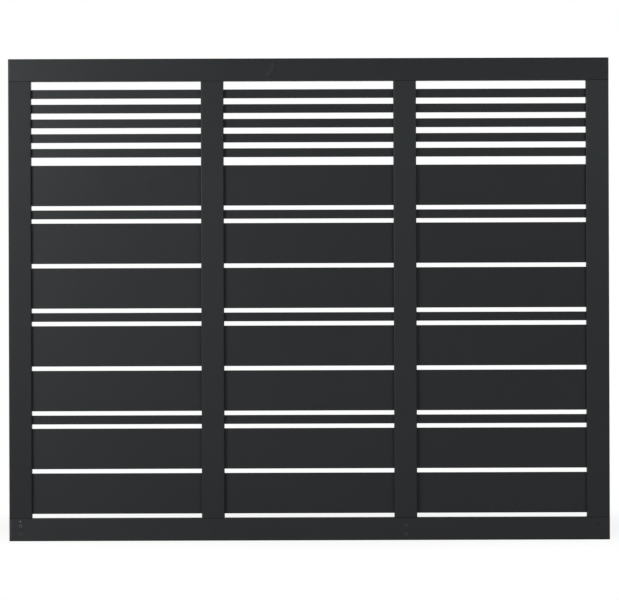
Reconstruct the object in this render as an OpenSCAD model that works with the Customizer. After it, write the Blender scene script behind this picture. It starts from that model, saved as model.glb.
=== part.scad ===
// Louvred fence panel in powder-coated aluminium.
//
// Three bays of horizontal slats and boards stand between four box-section
// stiles. A box-section rail caps the stiles and another carries them. The
// stiles are punched with one slot for every slat and board; each infill
// profile is seated in the slots at both of its ends, so that the frame holds
// the infill with no clip or weld. Spigots inside the tubes join stiles to rails.
//
// Millimetres. The origin is the middle of the bottom rail's underside: X runs
// along the panel, Y through it and Z up. The front face looks towards -Y.

/* [Panel] */
// Overall height of the panel
panel_h = 1800; // [1740:5:1860]
// Clear width of one bay, from stile to stile
bay_w = 634; // [300:1:1200]

/* [Frame tubes] */
// Width of a stile and height of a rail, seen from the front
frame_face = 85; // [80:1:90]
// Depth of the frame, front to back
frame_d = 40; // [36:1:60]
// Wall thickness of the frame tubes
frame_wall = 2; // [1.5:0.1:2.5]
// Radius of the tubes' outer corners
frame_r = 4; // [3:0.1:5]
// Thickness of the plastic cap on a rail's end
cap_t = 3; // [2:0.5:5]
// How far a spigot reaches into a stile
spigot_reach = 60; // [40:5:100]

/* [Foot screws] */
// Width of a countersunk head
screw_head = 12.5; // [10:0.5:13]
// Distance between the two screws under a stile
screw_spread = 30; // [20:1:40]

/* [Louvre slats] */
// Height of a slat
slat_h = 33; // [28:1:36]
// Number of slats in the louvred head of each bay
louvre_count = 5; // [3:1:5]
// Clear gap between slats of the louvred head
louvre_gap = 22; // [15:1:24]
// Clear gap above and below the louvred head
head_gap = 30; // [20:1:36]

/* [Boards] */
// Height of a board
board_h = 151; // [140:1:152]
// Thickness of slats and boards, front to back
infill_d = 16; // [14:1:24]
// Wall thickness of the slat and board profiles
skin = 1.4; // [1.2:0.1:1.8]
// Radius of the slats' and boards' corners
infill_r = 2; // [2:0.1:4]
// How far a slat or board is seated in a stile
seat = 13; // [8:1:16]
// Clearance between an infill profile and its slot, in front, behind and above
slot_clear = 0.3; // [0.1:0.1:0.5]

/* [Hidden] */
$fn = 32;
bay_names = ["left", "middle", "right"];
stile_names = ["left_stile", "middle_left_stile", "middle_right_stile", "right_stile"];
bay_count = len(bay_names);
stile_count = len(stile_names);

coat = [0.21, 0.22, 0.23];    // anthracite powder coat
cap_black = [0.09, 0.09, 0.10];
mill_finish = [0.72, 0.73, 0.74];

bay_pitch = bay_w + frame_face;
panel_w = bay_count * bay_w + stile_count * frame_face;
rail_len = panel_w - 2 * cap_t;
stile_len = panel_h - 2 * frame_face;
infill_len = bay_w + 2 * seat;
inner_r = frame_r - frame_wall;
cavity = [frame_face - 2 * frame_wall, frame_d - 2 * frame_wall];
spigot_clear = 4.5;           // from a spigot's side to a seated end of infill
spigot = [frame_face - 2 * (seat + spigot_clear), cavity[1]];
spigot_r = inner_r + 0.5;
spigot_foot = frame_wall + inner_r;
spigot_wall = 4;
spigot_web = 10;              // the foot screws cut their thread in it
screw_hole = 6.6;             // in the rail, clear of the thread
screw_pilot = 5;              // in the spigot, for a thread of 6 mm
screw_depth = 20;             // from the rail's face to the end of the pilot hole
plug_wall = 2.5;
plug_reach = (frame_face - spigot[0]) / 2 - cap_t - plug_wall;  // stops short of the spigot
punch = 1;                    // overshoot of a cut past the surface it leaves

// The infill below the louvred head, from the top down: true is a board and
// false a slat. The gaps between them share what the heights leave over.
courses = [true, false, true, true, false, true, true, false, true, true];
course_h = [for (is_board = courses) is_board ? board_h : slat_h];
louvre_h = louvre_count * slat_h + (louvre_count - 1) * louvre_gap;
function sum(list, n) = n <= 0 ? 0 : list[n - 1] + sum(list, n - 1);
lower_h = stile_len - louvre_h - 2 * head_gap;
course_gap = (lower_h - sum(course_h, len(courses))) / len(courses);

// Underside of each piece of infill, in height above the origin
louvre_z = [for (i = [0 : louvre_count - 1])
    panel_h - frame_face - head_gap - slat_h - i * (slat_h + louvre_gap)];
course_z = [for (i = [0 : len(courses) - 1])
    frame_face + lower_h - sum(course_h, i + 1) - i * course_gap];
slot_list = concat(
    [for (z = louvre_z) [z, slat_h]],
    [for (i = [0 : len(courses) - 1]) [course_z[i], course_h[i]]]
);

// Boards and narrow slats are counted separately, from the top down
function count_like(i) = len([for (k = [0 : i]) if (courses[k] == courses[i]) k]);
function course_name(bay, i) =
    str(courses[i] ? "board_" : "narrow_slat_", bay_names[bay], "_", count_like(i));
function louvre_name(bay) = str("louvre_slats_", bay_names[bay]);
function bay_x(bay) = (bay - (bay_count - 1) / 2) * bay_pitch;
function stile_x(i) = (i - (stile_count - 1) / 2) * bay_pitch;

// ---- Profiles ----

// Rectangle with round corners, centred on the origin
module round_rect(size, r) {
    square([size[0] - 2 * r, size[1]], center = true);
    square([size[0], size[1] - 2 * r], center = true);
    for (x = [-1, 1], y = [-1, 1])
        translate([x * (size[0] / 2 - r), y * (size[1] / 2 - r)]) circle(r);
}

// Wall of a box tube, centred on the origin
module tube_profile(size, wall, r) {
    difference() {
        round_rect(size, r);
        round_rect([size[0] - 2 * wall, size[1] - 2 * wall], r - wall);
    }
}

// Hollow slat or board standing on the origin: X is its depth and Y its height.
// Webs stiffen a tall profile at about every 50 mm.
module infill_profile(h) {
    cells = max(1, round(h / 50));
    cell_h = (h - skin * (cells + 1)) / cells;
    difference() {
        translate([0, h / 2]) round_rect([infill_d, h], infill_r);
        for (i = [0 : cells - 1])
            translate([0, skin + cell_h / 2 + i * (cell_h + skin)])
                round_rect([infill_d - 2 * skin, cell_h], infill_r - skin);
    }
}

// Extrudes a profile along X, with its own X to the depth and its Y upwards
module along_x(length) {
    rotate([90, 0, 90]) linear_extrude(length, center = true) children();
}

// ---- Frame ----

module rail_tube(z) {
    translate([0, 0, z + frame_face / 2])
        along_x(rail_len) tube_profile([frame_d, frame_face], frame_wall, frame_r);
}

// Openings through one wall of a rail, at each stile, where the spigots pass.
// They also clear the fillets along that wall's inner edges.
module spigot_openings(z) {
    clear = inner_r + punch;
    for (i = [0 : stile_count - 1])
        translate([stile_x(i), 0, z - clear])
            linear_extrude(frame_wall + 2 * clear) round_rect(spigot, spigot_r);
}

// Countersunk holes for the screws under each stile, from the front face inwards
module screw_holes(width, depth) {
    cone = (screw_head - width) / 2;
    for (i = [0 : stile_count - 1], side = [-1, 1])
        translate([stile_x(i), -frame_d / 2, frame_face / 2 + side * screw_spread / 2])
            rotate([-90, 0, 0]) {
                translate([0, 0, -punch])
                    cylinder(punch + cone, screw_head / 2 + punch, width / 2);
                cylinder(depth, width / 2, width / 2);
            }
}

module bottom_rail() {
    color(coat) difference() {
        rail_tube(0);
        spigot_openings(frame_face - frame_wall);
        screw_holes(screw_hole, frame_wall + punch);
    }
}

module top_rail() {
    color(coat) difference() {
        rail_tube(panel_h - frame_face);
        spigot_openings(panel_h - frame_face);
    }
}

// Slots punched in one wall of a stile, one for every piece of infill in a bay.
// The infill rests on the lower edge of its slot.
module slot_row(x) {
    for (slot = slot_list)
        translate([x, 0, slot[0] + slot[1] / 2 + slot_clear])
            along_x(frame_wall + 2 * punch)
                round_rect([infill_d + 2 * slot_clear, slot[1] + 2 * slot_clear], infill_r);
}

module stile(i) {
    wall_x = (frame_face - frame_wall) / 2;
    color(coat) difference() {
        translate([stile_x(i), 0, frame_face]) linear_extrude(stile_len)
            tube_profile([frame_face, frame_d], frame_wall, frame_r);
        if (i > 0) slot_row(stile_x(i) - wall_x);
        if (i < stile_count - 1) slot_row(stile_x(i) + wall_x);
    }
}

// Twin-cell extrusion that stands inside a rail, clear of the fillets in the
// tube's corners, and reaches into a stile
module spigot_block() {
    length = frame_face - spigot_foot + spigot_reach;
    cell = [(spigot[0] - spigot_web) / 2 - spigot_wall, spigot[1] - 2 * spigot_wall];
    linear_extrude(length) difference() {
        round_rect(spigot, spigot_r);
        for (side = [-1, 1])
            translate([side * (cell[0] + spigot_web) / 2, 0]) round_rect(cell, 1);
    }
}

// Only the lower spigots are drilled: no screw goes through the top rail
module frame_spigots() {
    color(mill_finish) {
        difference() {
            for (i = [0 : stile_count - 1])
                translate([stile_x(i), 0, spigot_foot]) spigot_block();
            screw_holes(screw_pilot, screw_depth);
        }
        for (i = [0 : stile_count - 1])
            translate([stile_x(i), 0, panel_h - spigot_foot]) mirror([0, 0, 1]) spigot_block();
    }
}

// Moulded cap with a flange the size of the tube and a hollow plug inside it
module rail_end_cap() {
    translate([0, 0, plug_reach])
        linear_extrude(cap_t) round_rect([frame_d, frame_face], frame_r);
    linear_extrude(plug_reach)
        tube_profile([cavity[1], cavity[0]], plug_wall, plug_wall + 0.5);
}

module rail_end_caps() {
    color(cap_black) for (side = [0, 1], z = [0, panel_h - frame_face])
        mirror([side, 0, 0])
            translate([rail_len / 2 - plug_reach, 0, z + frame_face / 2])
                rotate([90, 0, 90]) rail_end_cap();
}

// ---- Infill ----

module infill(bay, z, h) {
    translate([bay_x(bay), 0, z]) along_x(infill_len) infill_profile(h);
}

module louvre_slats(bay) {
    color(coat) for (z = louvre_z) infill(bay, z, slat_h);
}

module course(bay, i) {
    color(coat) infill(bay, course_z[i], course_h[i]);
}

// ---- Assembly ----

top_rail();
bottom_rail();
frame_spigots();
rail_end_caps();

for (i = [0 : stile_count - 1])
    stile(i);

for (bay = [0 : bay_count - 1]) {
    louvre_slats(bay);
    for (i = [0 : len(courses) - 1])
        course(bay, i);
}
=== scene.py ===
"""Finishes the louvred fence panel: powder coat, end caps, foot screws and a plain white studio."""

import math
from typing import NamedTuple

import bpy
from bpy.props import FloatProperty, FloatVectorProperty, PointerProperty
from mathutils import Matrix, Vector


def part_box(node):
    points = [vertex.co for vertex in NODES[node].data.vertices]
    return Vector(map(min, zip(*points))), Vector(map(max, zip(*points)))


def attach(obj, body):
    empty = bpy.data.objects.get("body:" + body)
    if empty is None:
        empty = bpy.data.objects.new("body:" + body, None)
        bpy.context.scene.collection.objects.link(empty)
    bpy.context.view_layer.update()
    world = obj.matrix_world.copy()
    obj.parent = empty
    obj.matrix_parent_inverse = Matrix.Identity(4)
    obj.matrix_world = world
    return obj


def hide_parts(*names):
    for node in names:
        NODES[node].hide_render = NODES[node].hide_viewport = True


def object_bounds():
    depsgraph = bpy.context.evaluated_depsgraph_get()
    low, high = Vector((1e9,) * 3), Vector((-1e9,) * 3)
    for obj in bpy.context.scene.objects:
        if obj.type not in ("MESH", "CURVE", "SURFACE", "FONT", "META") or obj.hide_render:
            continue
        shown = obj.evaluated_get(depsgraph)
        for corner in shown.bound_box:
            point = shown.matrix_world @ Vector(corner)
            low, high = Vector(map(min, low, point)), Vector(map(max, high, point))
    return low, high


bl_info = {
    "name": "Louvred Fence Panel",
    "version": (1, 0, 0),
    "blender": (4, 5, 0),
    "location": "View3D > Sidebar > Fence Panel",
    "description": "Coats an aluminium fence panel, fits its caps and screws and sets a white studio",
    "category": "Object",
}

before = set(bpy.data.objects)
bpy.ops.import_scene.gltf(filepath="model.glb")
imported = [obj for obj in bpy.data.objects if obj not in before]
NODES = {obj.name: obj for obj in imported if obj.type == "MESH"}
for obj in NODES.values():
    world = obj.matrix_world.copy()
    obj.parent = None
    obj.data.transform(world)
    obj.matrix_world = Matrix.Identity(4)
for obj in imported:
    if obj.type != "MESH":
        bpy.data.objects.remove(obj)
CAD_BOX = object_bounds()
BODY = "root"
STILES = ("left_stile", "middle_left_stile", "middle_right_stile", "right_stile")

# ---- Settings ----


class CoatSettings(bpy.types.PropertyGroup):
    """The powder coat on the frame and the infill."""

    color: FloatVectorProperty(
        name="Colour",
        description="Anthracite of the powder coat",
        subtype="COLOR",
        size=3,
        min=0.0,
        max=1.0,
        default=(0.0213, 0.0240, 0.0255),
    )
    roughness: FloatProperty(
        name="Roughness",
        description="Roughness of the satin coat",
        subtype="FACTOR",
        min=0.0,
        max=1.0,
        default=0.46,
    )
    ripple: FloatProperty(
        name="Ripple",
        description="Width of the ripples in the coat",
        subtype="DISTANCE",
        unit="LENGTH",
        min=0.0005,
        default=0.0026,
    )


class CapSettings(bpy.types.PropertyGroup):
    """The moulded caps in the ends of the rails."""

    corner: FloatProperty(
        name="Corner",
        description="Radius of a cap's corners, which is that of the rail",
        subtype="DISTANCE",
        unit="LENGTH",
        default=0.004,
    )
    rim: FloatProperty(
        name="Rim",
        description="Width of the rounded edge round a cap's face",
        subtype="DISTANCE",
        unit="LENGTH",
        default=0.0012,
    )
    border: FloatProperty(
        name="Border",
        description="Width of the flat border between the rounded edge and the sunk panel",
        subtype="DISTANCE",
        unit="LENGTH",
        default=0.002,
    )
    panel_depth: FloatProperty(
        name="Panel depth",
        description="How far the panel in a cap's face is sunk",
        subtype="DISTANCE",
        unit="LENGTH",
        default=0.0005,
    )
    plug_gap: FloatProperty(
        name="Plug gap",
        description="From the outside of the rail to the side of the plug in it",
        subtype="DISTANCE",
        unit="LENGTH",
        default=0.0021,
    )
    plug_length: FloatProperty(
        name="Plug length",
        description="How far the plug goes into the rail",
        subtype="DISTANCE",
        unit="LENGTH",
        default=0.012,
    )
    plug_wall: FloatProperty(
        name="Plug wall",
        description="Thickness of the plug's wall",
        subtype="DISTANCE",
        unit="LENGTH",
        default=0.0016,
    )
    plug_floor: FloatProperty(
        name="Plug floor",
        description="From the cap's inner face to the bottom of the hollow in the plug",
        subtype="DISTANCE",
        unit="LENGTH",
        default=0.0005,
    )


class ScrewSettings(bpy.types.PropertyGroup):
    """The countersunk screws in the bottom rail, two under each stile."""

    head_width: FloatProperty(
        name="Head width",
        description="Width of a countersunk head",
        subtype="DISTANCE",
        unit="LENGTH",
        default=0.0117,
    )
    shank_width: FloatProperty(
        name="Shank width",
        description="Width of the screw in its pilot hole",
        subtype="DISTANCE",
        unit="LENGTH",
        default=0.0048,
    )
    shank_length: FloatProperty(
        name="Shank length",
        description="Length of the screw under its head",
        subtype="DISTANCE",
        unit="LENGTH",
        default=0.0145,
    )
    tip_length: FloatProperty(
        name="Tip length",
        description="Length of the taper at the end of the shank",
        subtype="DISTANCE",
        unit="LENGTH",
        default=0.0015,
    )
    edge_height: FloatProperty(
        name="Edge height",
        description="Height of the straight edge round the head, over its cone",
        subtype="DISTANCE",
        unit="LENGTH",
        default=0.0003,
    )
    edge_radius: FloatProperty(
        name="Edge radius",
        description="Rounding of the edge round the head's face",
        subtype="DISTANCE",
        unit="LENGTH",
        default=0.0002,
    )
    sink: FloatProperty(
        name="Sink",
        description="How far the head's face lies under the face of the rail",
        subtype="DISTANCE",
        unit="LENGTH",
        default=0.00005,
    )
    socket_width: FloatProperty(
        name="Socket width",
        description="Width of the hexagon socket across its corners",
        subtype="DISTANCE",
        unit="LENGTH",
        default=0.0046,
    )
    socket_depth: FloatProperty(
        name="Socket depth",
        description="Depth of the hexagon socket",
        subtype="DISTANCE",
        unit="LENGTH",
        default=0.0024,
    )
    spread: FloatProperty(
        name="Spread",
        description="Distance between the two screws under a stile",
        subtype="DISTANCE",
        unit="LENGTH",
        default=0.03,
    )


class StudioSettings(bpy.types.PropertyGroup):
    """The camera, the lamps, the room and the floor."""

    camera_distance: FloatProperty(
        name="Camera distance",
        description="From the camera to the front of the panel",
        subtype="DISTANCE",
        unit="LENGTH",
        default=15.0,
    )
    frame_share: FloatProperty(
        name="Share of the picture",
        description="Share of the picture's width that the panel takes",
        subtype="FACTOR",
        min=0.1,
        max=1.0,
        default=0.9704,
    )
    camera_roll: FloatProperty(
        name="Camera roll",
        description="Turn of the camera about its line of sight",
        subtype="ANGLE",
        unit="ROTATION",
        default=math.radians(0.18),
    )
    camera_right: FloatProperty(
        name="Camera to the right",
        description="How far the camera stands to the right of the panel's middle",
        subtype="DISTANCE",
        unit="LENGTH",
        default=0.002,
    )
    camera_drop: FloatProperty(
        name="Camera drop",
        description="How far the camera stands below the panel's middle",
        subtype="DISTANCE",
        unit="LENGTH",
        default=0.0026,
    )
    key_power: FloatProperty(
        name="Key lamp",
        description="Power of the large soft lamp at the upper left",
        subtype="POWER",
        unit="POWER",
        default=89.0,
    )
    fill_power: FloatProperty(
        name="Fill lamp",
        description="Power of the weaker soft lamp at the upper right",
        subtype="POWER",
        unit="POWER",
        default=50.0,
    )
    back_power: FloatProperty(
        name="Back lamp",
        description="Power of the weak soft lamp behind the panel, which lights its back alone",
        subtype="POWER",
        unit="POWER",
        default=70.0,
    )
    room: FloatProperty(
        name="Room",
        description="Brightness of the studio's walls as they light the panel",
        min=0.0,
        default=0.1,
    )
    floor_size: FloatProperty(
        name="Floor size",
        description="Length of the floor's sides",
        subtype="DISTANCE",
        unit="LENGTH",
        default=120.0,
    )


SETTINGS = {
    "fence_coat": CoatSettings,
    "fence_caps": CapSettings,
    "fence_screws": ScrewSettings,
    "fence_studio": StudioSettings,
}

# ---- Node helpers ----


def new_material(name):
    """An empty node material: the material, its tree and its output."""
    material = bpy.data.materials.new(name)
    material.use_nodes = True
    tree = material.node_tree
    tree.nodes.clear()
    return material, tree, tree.nodes.new("ShaderNodeOutputMaterial")


def add_node(tree, kind, values=None, **settings):
    """A shader node with its attributes set by name, and its sockets by value or by link."""
    node = tree.nodes.new(kind)
    for key, value in settings.items():
        setattr(node, key, value)
    for socket, value in (values or {}).items():
        if isinstance(value, bpy.types.NodeSocket):
            tree.links.new(value, node.inputs[socket])
        else:
            node.inputs[socket].default_value = value
    return node


def place_on_piece(tree):
    """The position on the piece, in metres."""
    return add_node(tree, "ShaderNodeTexCoord").outputs["Object"]


def noise(tree, position, scale, detail=2.0, roughness=0.5):
    """Noise with about so many waves a metre."""
    values = {"Vector": position, "Scale": scale, "Detail": detail, "Roughness": roughness}
    return add_node(tree, "ShaderNodeTexNoise", values).outputs["Fac"]


def remap(tree, value, low, high, to_low, to_high):
    """A value stretched from one range to another and kept inside it."""
    values = {"Value": value, 1: low, 2: high, 3: to_low, 4: to_high}
    return add_node(tree, "ShaderNodeMapRange", values).outputs["Result"]


def combine(tree, operation, a, b):
    """One sum on two numbers."""
    return add_node(tree, "ShaderNodeMath", {0: a, 1: b}, operation=operation).outputs[0]


def absolute(tree, value):
    """A number without its sign."""
    return combine(tree, "ABSOLUTE", value, 0.0)


def blend(tree, factor, a, b):
    """A mix of two colours."""
    values = {"Factor": factor}
    for socket, value in ((6, a), (7, b)):
        values[socket] = value if isinstance(value, bpy.types.NodeSocket) else (*value, 1.0)
    return add_node(tree, "ShaderNodeMix", values, data_type="RGBA").outputs[2]


def bump(tree, height, strength, distance):
    """A surface normal raised by a height."""
    values = {"Height": height, "Strength": strength, "Distance": distance}
    return add_node(tree, "ShaderNodeBump", values).outputs["Normal"]


def soft_spot(tree, centre, half_size, tilt=0.0):
    """An egg-shaped spot: 1 at its centre and 0 at its edge."""
    egg = add_node(
        tree,
        "ShaderNodeMapping",
        {
            "Vector": place_on_piece(tree),
            "Location": centre,
            "Rotation": (0.0, tilt, 0.0),
            "Scale": half_size,
        },
        vector_type="TEXTURE",
    ).outputs["Vector"]
    fade = add_node(tree, "ShaderNodeTexGradient", {"Vector": egg}, gradient_type="SPHERICAL")
    return fade.outputs["Fac"]


def tinted(color, factor):
    """A colour made lighter or darker."""
    return tuple(min(1.0, channel * factor) for channel in color)


def finish_material(tree, output, values):
    """A principled shader with its values, on the material's surface."""
    shader = add_node(tree, "ShaderNodeBsdfPrincipled", values)
    tree.links.new(shader.outputs["BSDF"], output.inputs["Surface"])


def give_material(piece, *materials):
    """Puts materials in a piece's slots, the first of which covers the whole piece."""
    piece.data.materials.clear()
    for material in materials:
        piece.data.materials.append(material)


# ---- Materials ----


class Mark(NamedTuple):
    """A mark of handling, or a painted highlight, on the front of a piece."""

    piece: str
    place: tuple  # of the mark's middle: right of the piece's left end, and above its foot
    half_size: tuple  # half the width and half the height
    tilt: float
    strength: float  # share of the mark's colour at its middle


# A rub dulls the coat, a nick is a small dark dent and a pale spot is a small light dab in the coat;
# the last two rubs are painted highlights, light stripes down the left ends of the rails
RUBS_AND_HIGHLIGHTS = (
    Mark("top_rail", (0.983, 0.057), (0.008, 0.014), 0.35, 0.3),
    Mark("top_rail", (0.976, 0.041), (0.008, 0.016), 0.35, 0.22),
    Mark("top_rail", (0.968, 0.027), (0.008, 0.012), 0.2, 0.45),
    # Painted highlights: light stripes down the left ends of the top and bottom rails, where the
    # rounded edge catches the lamp
    Mark("top_rail", (0.0025, 0.0425), (0.0035, 0.06), 0.0, 0.55),
    Mark("bottom_rail", (0.0025, 0.0425), (0.0035, 0.06), 0.0, 0.6),
)
NICKS = (
    Mark("top_rail", (0.9945, 0.0655), (0.007, 0.009), 0.0, 1.0),
    Mark("top_rail", (0.994, 0.042), (0.006, 0.010), 0.1, 0.8),
    Mark("top_rail", (0.977, 0.017), (0.007, 0.006), 0.0, 0.9),
    Mark("board_left_1", (0.4585, 0.082), (0.006, 0.019), -0.13, 0.8),
    Mark("board_left_1", (0.433, 0.050), (0.004, 0.005), 0.0, 0.6),
)
# A small pale spot on the bottom rail, above the left stile's upper screw
PALE_SPOTS = (Mark("bottom_rail", (0.038, 0.0743), (0.0038, 0.0032), 0.0, 1.0),)
RUB_AND_HIGHLIGHT_COLOR = (0.062, 0.062, 0.063)
NICK_COLOR = (0.012, 0.0125, 0.013)
PALE_SPOT_COLOR = (0.36, 0.36, 0.365)
MARKS = ((RUBS_AND_HIGHLIGHTS, RUB_AND_HIGHLIGHT_COLOR), (NICKS, NICK_COLOR), (PALE_SPOTS, PALE_SPOT_COLOR))
MARK_DEPTH = 0.03

# Metals of the screws: the dark and the light of each one's bloom, and its roughness
SCREW_METALS = {
    "blackened": ((0.026, 0.026, 0.028), (0.058, 0.058, 0.062), 0.42),
    "worn": ((0.3, 0.31, 0.32), (0.5, 0.51, 0.52), 0.35),
    "bare": ((0.055, 0.057, 0.06), (0.085, 0.088, 0.092), 0.5),
}

# Material slots of a screw, after the first, which is its metal
HEAD_EDGE = 1
HEAD_FACE = 2

# Screws whose coat a key has knocked off. The others still wear the coat on edge and face.
WORN_SCREWS = {
    ("left_stile", "upper"): "bare",
    ("left_stile", "lower"): "scuffed",
    ("middle_right_stile", "upper"): "scuffed",
    ("middle_right_stile", "lower"): "scuffed",
}

# Tone of a piece's coat at its foot and at its head, against that of the boards: partly the piece's
# own tone and partly painted light and shade, such as the right stiles painted lighter towards their
# heads
PIECE_TONES_AND_SHADING = {
    "bottom_rail": (1.09, 1.09),
    "left_stile": (0.8, 0.81),
    "middle_left_stile": (1.0, 1.09),
    "middle_right_stile": (1.06, 1.24),
    "right_stile": (0.98, 1.38),
    "louvre_slats_left": (1.12, 1.12),
}

DUST_COLOR = (0.075, 0.073, 0.068)
# Painted shade: the dark colour laid into tight corners, recesses and joints, where the faces round
# them cut off the light
CORNER_SHADE_COLOR = (0.006, 0.006, 0.006)
CORNER_REACH = 0.012  # how near another face makes a corner tight
GLOSS_SPREAD = 0.035  # how far the coat's roughness wanders either way
DUST_ROUGHNESS = 0.6  # what full dust adds to the coat's roughness
MARK_ROUGHNESS = 0.12  # what a full mark adds to it


def piece_tone_and_shading(tree, settings, piece_name, position):
    """The coat's colour with slow clouds and a faint fleck in it, at the tone of its piece, which is
    partly painted light and shade from foot to head.
    """
    cloud = remap(tree, noise(tree, position, scale=1.7, detail=3.0), 0.35, 0.65, 0.0, 1.0)

    def clouded(factor):
        dark, light = (tinted(settings.color, share * factor) for share in (0.95, 1.05))
        return blend(tree, cloud, dark, light)

    if piece_name in PIECE_TONES_AND_SHADING:
        foot, head = PIECE_TONES_AND_SHADING[piece_name]
        low, high = (corner.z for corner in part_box(piece_name))
        height = add_node(tree, "ShaderNodeSeparateXYZ", {"Vector": position}).outputs["Z"]
        rise = remap(tree, height, low, high, 0.0, 1.0)
        tone = blend(tree, rise, clouded(foot), clouded(head))
    else:
        tone = clouded(1.0)
    fleck = remap(tree, noise(tree, position, scale=1500.0, detail=1.0), 0.64, 0.74, 0.0, 0.22)
    return blend(tree, fleck, tone, tinted(settings.color, 1.6))


def dust_and_corner_shade(tree, position):
    """Dust on faces that look up and have open air above them, and painted shade in tight corners."""
    open_air = add_node(
        tree, "ShaderNodeAmbientOcclusion", {"Distance": CORNER_REACH}, samples=8
    ).outputs["AO"]
    normal = add_node(tree, "ShaderNodeTexCoord").outputs["Normal"]
    upward = add_node(tree, "ShaderNodeSeparateXYZ", {"Vector": normal}).outputs["Z"]
    patches = noise(tree, position, scale=34.0, detail=6.0, roughness=0.65)
    dust = combine(
        tree,
        "MULTIPLY",
        remap(tree, upward, 0.75, 1.0, 0.0, 1.0),
        remap(tree, patches, 0.35, 0.75, 0.15, 0.5),
    )
    dust = combine(tree, "MULTIPLY", dust, remap(tree, open_air, 0.6, 0.95, 0.0, 1.0))
    # The second mask is painted shade, darkest where the least open air reaches a corner
    return dust, remap(tree, open_air, 0.25, 0.85, 0.7, 0.0)


def mark_coat(tree, piece_name, position, tone, rough):
    """The coat's colour and roughness with the marks and painted highlights that its piece bears."""
    borne = [(mark, color) for marks, color in MARKS for mark in marks if mark.piece == piece_name]
    if not borne:
        return tone, rough
    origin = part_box(piece_name)[0]
    tatters = noise(tree, position, scale=420.0, detail=3.0)
    ragged = remap(tree, tatters, 0.35, 0.6, 0.35, 1.0)
    for mark, color in borne:
        right, up = mark.place
        half_width, half_height = mark.half_size
        centre = origin + Vector((right, 0.0, up))
        spot = soft_spot(tree, centre, (half_width, MARK_DEPTH, half_height), mark.tilt)
        mask = remap(tree, spot, 0.1, 0.55, 0.0, mark.strength)
        mask = combine(tree, "MULTIPLY", mask, ragged)
        tone = blend(tree, mask, tone, color)
        rough = combine(tree, "ADD", rough, combine(tree, "MULTIPLY", mask, MARK_ROUGHNESS))
    return tone, rough


def powder_coat(settings, piece_name=None):
    """Satin anthracite powder coat with a fine ripple, dust, marks of handling, painted shade in tight
    corners, painted highlights on some pieces and painted light and shade in the tone of others.
    """
    name = f"powder_coat_{piece_name}" if piece_name else "powder_coat"
    material, tree, output = new_material(name)
    position = place_on_piece(tree)
    tone = piece_tone_and_shading(tree, settings, piece_name, position)
    dust, corner_shade = dust_and_corner_shade(tree, position)
    tone = blend(tree, dust, tone, DUST_COLOR)
    # Painted shade in tight corners
    tone = blend(tree, corner_shade, tone, CORNER_SHADE_COLOR)

    low, high = settings.roughness - GLOSS_SPREAD, settings.roughness + GLOSS_SPREAD
    rough = remap(tree, noise(tree, position, scale=9.0, detail=4.0), 0.3, 0.7, low, high)
    rough = combine(tree, "ADD", rough, combine(tree, "MULTIPLY", dust, DUST_ROUGHNESS))
    tone, rough = mark_coat(tree, piece_name, position, tone, rough)
    ripple = noise(tree, position, scale=1.0 / settings.ripple, detail=1.5)
    finish_material(
        tree,
        output,
        {
            "Base Color": tone,
            "Roughness": rough,
            "Normal": bump(tree, ripple, strength=0.1, distance=0.0003),
            "Specular IOR Level": 0.2,
        },
    )
    return material


def cap_plastic():
    """Black moulded plastic with a fine spark-eroded grain."""
    material, tree, output = new_material("cap_plastic_black")
    position = place_on_piece(tree)
    dark, light = (0.022, 0.0227, 0.024), (0.05, 0.0515, 0.054)
    grain = noise(tree, position, scale=1900.0, detail=3.0)
    cloud = remap(tree, noise(tree, position, scale=60.0, detail=3.0), 0.35, 0.65, 0.8, 1.0)
    pale = combine(tree, "MULTIPLY", grain, cloud)
    finish_material(
        tree,
        output,
        {
            "Base Color": blend(tree, pale, dark, light),
            "Roughness": remap(tree, grain, 0.3, 0.7, 0.5, 0.66),
            "Normal": bump(tree, grain, strength=0.3, distance=0.0001),
            "Specular IOR Level": 0.35,
        },
    )
    return material


def screw_metal(finish):
    """Metal of a screw, with a fine bloom in its tone and gloss."""
    dark, light, roughness = SCREW_METALS[finish]
    material, tree, output = new_material(f"screw_{finish}")
    bloom = noise(tree, place_on_piece(tree), scale=700.0, detail=3.0)
    finish_material(
        tree,
        output,
        {
            "Base Color": blend(tree, bloom, dark, light),
            "Roughness": remap(tree, bloom, 0.3, 0.7, roughness - 0.07, roughness + 0.07),
            "Normal": bump(tree, bloom, strength=0.1, distance=0.00005),
            "Metallic": 1.0,
        },
    )
    return material


def spigot_metal(settings, joints):
    """Drawn aluminium, bare but for the coat that got in at the open joints of the frame, painted
    darker there as shade in the joint.
    """
    material, tree, output = new_material("mill_aluminium")
    position = place_on_piece(tree)
    drawn = add_node(tree, "ShaderNodeMapping", {"Vector": position, "Scale": (900.0, 900.0, 6.0)})
    lines = noise(tree, drawn.outputs["Vector"], scale=1.0, detail=3.0)
    dark, light = (0.6, 0.61, 0.62), (0.75, 0.76, 0.77)
    bare = blend(tree, lines, dark, light)

    height = add_node(tree, "ShaderNodeSeparateXYZ", {"Vector": position}).outputs["Z"]
    middle_height = (joints[0] + joints[1]) / 2
    from_middle = absolute(tree, combine(tree, "SUBTRACT", height, middle_height))
    from_joint = absolute(tree, combine(tree, "SUBTRACT", from_middle, joints[1] - middle_height))
    # Painted shade: the coat in each joint is painted darker than the coat elsewhere, as shade in the
    # joint
    coated = remap(tree, from_joint, 0.003, 0.006, 1.0, 0.0)
    finish_material(
        tree,
        output,
        {
            "Base Color": blend(tree, coated, bare, tinted(settings.color, 0.7)),
            "Roughness": remap(tree, coated, 0.0, 1.0, 0.38, 0.6),
            "Metallic": combine(tree, "SUBTRACT", 1.0, coated),
            "Normal": bump(tree, lines, strength=0.1, distance=0.00005),
            "Specular IOR Level": 0.2,
        },
    )
    return material


# ---- Modelling helpers ----

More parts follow.
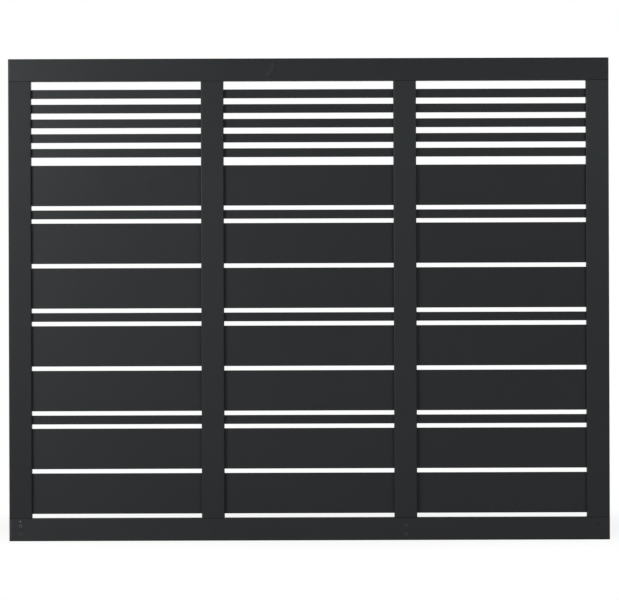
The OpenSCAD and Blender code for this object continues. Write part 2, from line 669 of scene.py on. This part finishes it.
SMOOTH_ANGLE = math.radians(35.0)  # edges sharper than this stay crisp
SQUARE_ON = 0.99  # how far a face's normal goes along an axis for it to look that way


def start_piece(name):
    """Names a primitive that was just added."""
    piece = bpy.context.object
    piece.name = piece.data.name = name
    return piece


def deselect_all():
    """Leaves nothing selected, so that the next operator acts on its own piece alone."""
    bpy.ops.object.select_all(action="DESELECT")


def pick_out(piece):
    """Selects one piece and makes it the active one."""
    deselect_all()
    piece.select_set(True)
    bpy.context.view_layer.objects.active = piece


def apply_place(piece):
    """Moves a piece's place, turn and scale into its mesh, so that its object sits at the origin."""
    pick_out(piece)
    bpy.ops.object.transform_apply(location=True, rotation=True, scale=True)


def edit_faces(piece, wanted):
    """Opens a piece in edit mode with only the faces selected that pass the test."""
    bpy.ops.object.mode_set(mode="EDIT")
    bpy.ops.mesh.select_mode(type="FACE")
    bpy.ops.mesh.select_all(action="DESELECT")
    bpy.ops.object.mode_set(mode="OBJECT")
    for face in piece.data.polygons:
        face.select = wanted(face)
    bpy.ops.object.mode_set(mode="EDIT")


def edit_edges(piece, wanted):
    """Opens a piece in edit mode with only the edges selected whose two ends pass the test."""
    bpy.ops.object.mode_set(mode="EDIT")
    bpy.ops.mesh.select_mode(type="EDGE")
    bpy.ops.mesh.select_all(action="DESELECT")
    bpy.ops.object.mode_set(mode="OBJECT")
    points = piece.data.vertices
    for edge in piece.data.edges:
        edge.select = wanted(points[edge.vertices[0]].co, points[edge.vertices[1]].co)
    bpy.ops.object.mode_set(mode="EDIT")


def extrude(move):
    """Extrudes the selected faces by a distance."""
    bpy.ops.mesh.extrude_region_move(TRANSFORM_OT_translate={"value": move})


def round_border(offset, segments):
    """Rounds the edges round the selected faces."""
    bpy.ops.mesh.region_to_loop()
    bpy.ops.mesh.bevel(offset=offset, segments=segments, affect="EDGES")


def leave_edit_mode():
    """Goes back to whole pieces."""
    bpy.ops.object.mode_set(mode="OBJECT")


def copied(piece, name, place):
    """A copy of a finished piece with its own mesh, put elsewhere by a matrix."""
    twin = piece.copy()
    twin.data = piece.data.copy()
    twin.name = twin.data.name = name
    bpy.context.scene.collection.objects.link(twin)
    twin.data.transform(place)
    return twin


def middle(node):
    """The middle of a node's box."""
    low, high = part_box(node)
    return (low + high) / 2


# ---- Operators ----


class FENCE_OT_coat_metal(bpy.types.Operator):
    """Coat the rails, stiles, slats and boards, and leave the spigots inside them bare"""

    bl_idname = "fence.coat_metal"
    bl_label = "Coat the Metal"

    def execute(self, context):
        settings = context.scene.fence_coat
        coat = powder_coat(settings)
        own_coat = {mark.piece for marks, _ in MARKS for mark in marks} | set(PIECE_TONES_AND_SHADING)
        for name, piece in NODES.items():
            give_material(piece, powder_coat(settings, name) if name in own_coat else coat)
        joints = [corner.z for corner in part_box(STILES[0])]
        give_material(NODES["frame_spigots"], spigot_metal(settings, joints))
        return {"FINISHED"}


class FENCE_OT_fit_end_caps(bpy.types.Operator):
    """Model the moulded caps in the four open ends of the rails"""

    bl_idname = "fence.fit_end_caps"
    bl_label = "Fit the End Caps"

    def execute(self, context):
        first = self.model_cap(context.scene.fence_caps)
        give_material(first, cap_plastic())
        rail_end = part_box("bottom_rail")[1].x
        caps = []
        for side, turn in (("right", 0.0), ("left", math.pi)):
            for rail in ("bottom_rail", "top_rail"):
                out = Matrix.Translation((rail_end, 0.0, middle(rail).z))
                place = Matrix.Rotation(turn, 4, "Z") @ out
                caps.append(copied(first, f"{rail}_cap_{side}", place))
        bpy.data.objects.remove(first)
        deselect_all()
        for cap in caps:
            cap.select_set(True)
        bpy.context.view_layer.objects.active = caps[0]
        bpy.ops.object.join()
        caps[0].name = caps[0].data.name = "moulded_rail_caps"
        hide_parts("rail_end_caps")
        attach(caps[0], BODY)
        return {"FINISHED"}

    def model_cap(self, settings):
        """One cap for a rail's right end, with the middle of the rail's end at the origin."""
        rail_low, rail_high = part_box("bottom_rail")
        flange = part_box("rail_end_caps")[1].x - rail_high.x
        deselect_all()
        bpy.ops.mesh.primitive_cube_add(size=1.0, location=(flange / 2, 0.0, 0.0))
        cap = start_piece("rail_cap")
        cap.scale = (flange, rail_high.y - rail_low.y, rail_high.z - rail_low.z)
        apply_place(cap)

        # Corners like the rail's, a rounded edge and a panel sunk into the face
        edit_edges(cap, lambda a, b: abs(a.x - b.x) > flange / 2)
        bpy.ops.mesh.bevel(offset=settings.corner, segments=8, affect="EDGES")
        leave_edit_mode()
        edit_faces(cap, lambda face: face.normal.x > SQUARE_ON)
        round_border(settings.rim, segments=4)
        leave_edit_mode()
        edit_faces(cap, lambda face: face.normal.x > SQUARE_ON)
        bpy.ops.mesh.inset(thickness=settings.border)
        bpy.ops.mesh.inset(thickness=settings.panel_depth, depth=-settings.panel_depth)
        leave_edit_mode()

        # The hollow plug drawn out of the inner face
        edit_faces(cap, lambda face: face.normal.x < -SQUARE_ON)
        bpy.ops.mesh.inset(thickness=settings.plug_gap)
        extrude((-settings.plug_length, 0.0, 0.0))
        bpy.ops.mesh.inset(thickness=settings.plug_wall)
        extrude((settings.plug_length - settings.plug_floor, 0.0, 0.0))
        leave_edit_mode()
        bpy.ops.object.shade_smooth_by_angle(angle=SMOOTH_ANGLE)
        return cap


class FENCE_OT_drive_foot_screws(bpy.types.Operator):
    """Model the countersunk screws in the bottom rail, two under each stile"""

    bl_idname = "fence.drive_foot_screws"
    bl_label = "Drive the Foot Screws"

    def execute(self, context):
        settings = context.scene.fence_screws
        rail_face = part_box("bottom_rail")[0].y
        rail_middle = middle("bottom_rail").z
        screw = self.model_screw(settings)
        metals = {finish: screw_metal(finish) for finish in SCREW_METALS}
        coat = powder_coat(context.scene.fence_coat, "screw_face")
        give_material(screw, metals["blackened"], coat, coat)
        self.part_surfaces(screw, settings)
        looks = {
            "coated": (coat, coat),
            "scuffed": (metals["worn"], metals["blackened"]),
            "bare": (metals["worn"], metals["bare"]),
        }
        for stile in STILES:
            for place, side in (("lower", -1), ("upper", 1)):
                rise = rail_middle + side * settings.spread / 2
                seat = Matrix.Translation((middle(stile).x, rail_face, rise))
                twin = copied(screw, f"foot_screw_{stile}_{place}", seat)
                edge, face = looks[WORN_SCREWS.get((stile, place), "coated")]
                twin.data.materials[HEAD_EDGE] = edge
                twin.data.materials[HEAD_FACE] = face
                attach(twin, BODY)
        bpy.data.objects.remove(screw)
        return {"FINISHED"}

    def model_screw(self, settings):
        """One countersunk screw along Y, with the middle of the rail's hole at the origin."""
        head = settings.head_width / 2
        shank = settings.shank_width / 2
        tip_share = 0.6
        deselect_all()
        bpy.ops.mesh.primitive_cylinder_add(
            vertices=48,
            radius=head,
            depth=settings.edge_height,
            location=(0.0, settings.edge_height / 2 + settings.sink, 0.0),
            rotation=(math.pi / 2, 0.0, 0.0),
        )
        screw = start_piece("foot_screw")
        apply_place(screw)

        # The cone under the head, the shank and its tapered tip
        edit_faces(screw, lambda face: face.normal.y > SQUARE_ON)
        extrude((0.0, head - shank, 0.0))
        bpy.ops.transform.resize(value=(shank / head, 1.0, shank / head))
        extrude((0.0, settings.shank_length - settings.tip_length, 0.0))
        extrude((0.0, settings.tip_length, 0.0))
        bpy.ops.transform.resize(value=(tip_share, 1.0, tip_share))
        leave_edit_mode()

        edit_faces(screw, lambda face: face.normal.y < -SQUARE_ON)
        round_border(settings.edge_radius, segments=3)
        leave_edit_mode()
        self.cut_socket(screw, settings)
        bpy.ops.object.shade_smooth_by_angle(angle=SMOOTH_ANGLE)
        return screw

    def cut_socket(self, screw, settings):
        """Sinks a hexagon socket into the screw's face."""
        deselect_all()
        bpy.ops.mesh.primitive_cylinder_add(
            vertices=6,
            radius=settings.socket_width / 2,
            depth=2 * settings.socket_depth,
            rotation=(math.pi / 2, 0.0, 0.0),
        )
        cutter = start_piece("socket_cutter")
        apply_place(cutter)
        pick_out(screw)
        socket = screw.modifiers.new("socket", "BOOLEAN")
        socket.object = cutter
        socket.operation = "DIFFERENCE"
        socket.solver = "EXACT"
        bpy.ops.object.modifier_apply(modifier=socket.name)
        bpy.data.objects.remove(cutter)

    def part_surfaces(self, screw, settings):
        """Gives the flat face of the head a slot of its own, and the rounded edge round it too."""
        least_lean = 0.1
        for face in screw.data.polygons:
            on_front = face.center.y < settings.edge_height
            lean = -face.normal.y
            if on_front and lean > SQUARE_ON:
                face.material_index = HEAD_FACE
            elif on_front and lean > least_lean:
                face.material_index = HEAD_EDGE


# Lamps: name, place, what each is aimed at, length of its sides and the setting of its power
LAMPS = (
    ("key_lamp", (-2.7, -2.3, 2.0), (-0.8, 0.0, 1.1), 1.4, "key_power"),
    ("fill_lamp", (3.0, -2.6, 2.9), (0.8, 0.0, 1.4), 1.4, "fill_power"),
    ("back_lamp", (2.4, 3.4, 2.8), (0.0, 0.0, 0.9), 2.0, "back_power"),
)
WHITE = (1.0, 1.0, 1.0, 1.0)
FLOOR_GREY = (0.75, 0.75, 0.75, 1.0)
FLOOR_DROP = 0.0005  # keeps the floor clear of the panel's underside
SHADOW_CENTRE = (0.2, 0.9, 0.0)
SHADOW_HALF_SIZE = (2.8, 1.9, 1.0)
SHADOW_STRENGTH = 0.16  # share of the floor's own light and shade that shows through the white


class FENCE_OT_set_studio(bpy.types.Operator):
    """Set the white floor, the lamps, the room and the camera"""

    bl_idname = "fence.set_studio"
    bl_label = "Set the Studio"

    def execute(self, context):
        settings = context.scene.fence_studio
        self.lay_floor(settings)
        for name, place, target, size, power in LAMPS:
            self.hang_lamp(name, place, target, size, getattr(settings, power))
        self.paint_room(context.scene, settings)
        self.place_camera(context.scene, settings)
        context.scene.view_settings.view_transform = "Standard"
        return {"FINISHED"}

    def lay_floor(self, settings):
        """A pale floor, white to the camera but for the soft shadow at the panel's foot."""
        deselect_all()
        bpy.ops.mesh.primitive_plane_add(
            size=settings.floor_size, location=(0.0, 0.0, CAD_BOX[0].z - FLOOR_DROP)
        )
        floor = start_piece("studio_floor")
        apply_place(floor)
        material, tree, output = new_material("studio_floor_white")
        matt = add_node(tree, "ShaderNodeBsdfDiffuse", {"Color": FLOOR_GREY})
        white = add_node(tree, "ShaderNodeEmission", {"Color": WHITE, "Strength": 1.0})
        near_panel = soft_spot(tree, SHADOW_CENTRE, SHADOW_HALF_SIZE)
        share = remap(tree, near_panel, 0.2, 0.7, 1.0, 1.0 - SHADOW_STRENGTH)
        seen = combine(tree, "MULTIPLY", self.seen_directly_or_mirrored(tree), share)
        mix = add_node(tree, "ShaderNodeMixShader", {0: seen, 1: matt.outputs[0], 2: white.outputs[0]})
        tree.links.new(mix.outputs[0], output.inputs["Surface"])
        give_material(floor, material)

    def seen_directly_or_mirrored(self, tree, mirror_share=1.0):
        """1 for what the camera sees directly, through glass or in a shine, and 0 for plain light."""
        ray = add_node(tree, "ShaderNodeLightPath").outputs
        mirrored = combine(tree, "MAXIMUM", ray["Is Glossy Ray"], ray["Is Transmission Ray"])
        mirrored = combine(tree, "MULTIPLY", mirrored, mirror_share)
        return combine(tree, "MAXIMUM", ray["Is Camera Ray"], mirrored)

    def hang_lamp(self, name, place, target, size, power):
        """A large soft square lamp."""
        bpy.ops.object.light_add(type="AREA", location=place)
        lamp = bpy.context.object
        lamp.name = lamp.data.name = name
        lamp.data.shape = "SQUARE"
        lamp.data.size = size
        lamp.data.energy = power
        lamp.visible_camera = False
        aim = Vector(target) - Vector(place)
        lamp.rotation_euler = aim.to_track_quat("-Z", "Y").to_euler()

    def paint_room(self, scene, settings):
        """A white backdrop, and plain grey walls in front of the panel as they light it."""
        world = bpy.data.worlds.new("studio_room")
        world.use_nodes = True
        tree = world.node_tree
        tree.nodes.clear()
        output = add_node(tree, "ShaderNodeOutputWorld")
        walls = add_node(tree, "ShaderNodeBackground", {"Color": WHITE, "Strength": settings.room})
        backdrop = add_node(tree, "ShaderNodeBackground", {"Color": WHITE, "Strength": 1.0})
        direction = add_node(tree, "ShaderNodeTexCoord").outputs["Object"]
        away = add_node(tree, "ShaderNodeSeparateXYZ", {"Vector": direction}).outputs["Y"]
        behind = remap(tree, away, -0.2, 0.2, settings.room, 1.0)
        seen = self.seen_directly_or_mirrored(tree, behind)
        mix = add_node(
            tree, "ShaderNodeMixShader", {0: seen, 1: walls.outputs[0], 2: backdrop.outputs[0]}
        )
        tree.links.new(mix.outputs[0], output.inputs["Surface"])
        scene.world = world

    def place_camera(self, scene, settings):
        """The camera looks square on at the middle of the panel."""
        low, high = CAD_BOX
        centre = (low + high) / 2
        data = bpy.data.cameras.new("front_camera")
        data.sensor_width = 36.0
        share = settings.frame_share / (high.x - low.x)
        data.lens = data.sensor_width * share * settings.camera_distance
        data.clip_end = 200.0
        camera = bpy.data.objects.new("front_camera", data)
        scene.collection.objects.link(camera)
        camera.location = (
            centre.x + settings.camera_right,
            low.y - settings.camera_distance,
            centre.z - settings.camera_drop,
        )
        camera.rotation_euler = (math.pi / 2, settings.camera_roll, 0.0)
        scene.camera = camera


class FENCE_PT_panel(bpy.types.Panel):
    """Steps and settings of the fence panel"""

    bl_idname = "FENCE_PT_panel"
    bl_label = "Fence Panel"
    bl_space_type = "VIEW_3D"
    bl_region_type = "UI"
    bl_category = "Fence Panel"

    def draw(self, context):
        for step in STEPS:
            self.layout.operator(step.bl_idname)
        for name, group in SETTINGS.items():
            box = self.layout.box()
            for key in group.__annotations__:
                box.prop(getattr(context.scene, name), key)


STEPS = (
    FENCE_OT_coat_metal,
    FENCE_OT_fit_end_caps,
    FENCE_OT_drive_foot_screws,
    FENCE_OT_set_studio,
)


def register():
    for name, group in SETTINGS.items():
        bpy.utils.register_class(group)
        setattr(bpy.types.Scene, name, PointerProperty(type=group))
    for step in STEPS:
        bpy.utils.register_class(step)
    bpy.utils.register_class(FENCE_PT_panel)


def unregister():
    bpy.utils.unregister_class(FENCE_PT_panel)
    for step in reversed(STEPS):
        bpy.utils.unregister_class(step)
    for name, group in SETTINGS.items():
        delattr(bpy.types.Scene, name)
        bpy.utils.unregister_class(group)


def main():
    register()
    bpy.ops.fence.coat_metal()
    bpy.ops.fence.fit_end_caps()
    bpy.ops.fence.drive_foot_screws()
    bpy.ops.fence.set_studio()


if __name__ == "__main__":
    main()
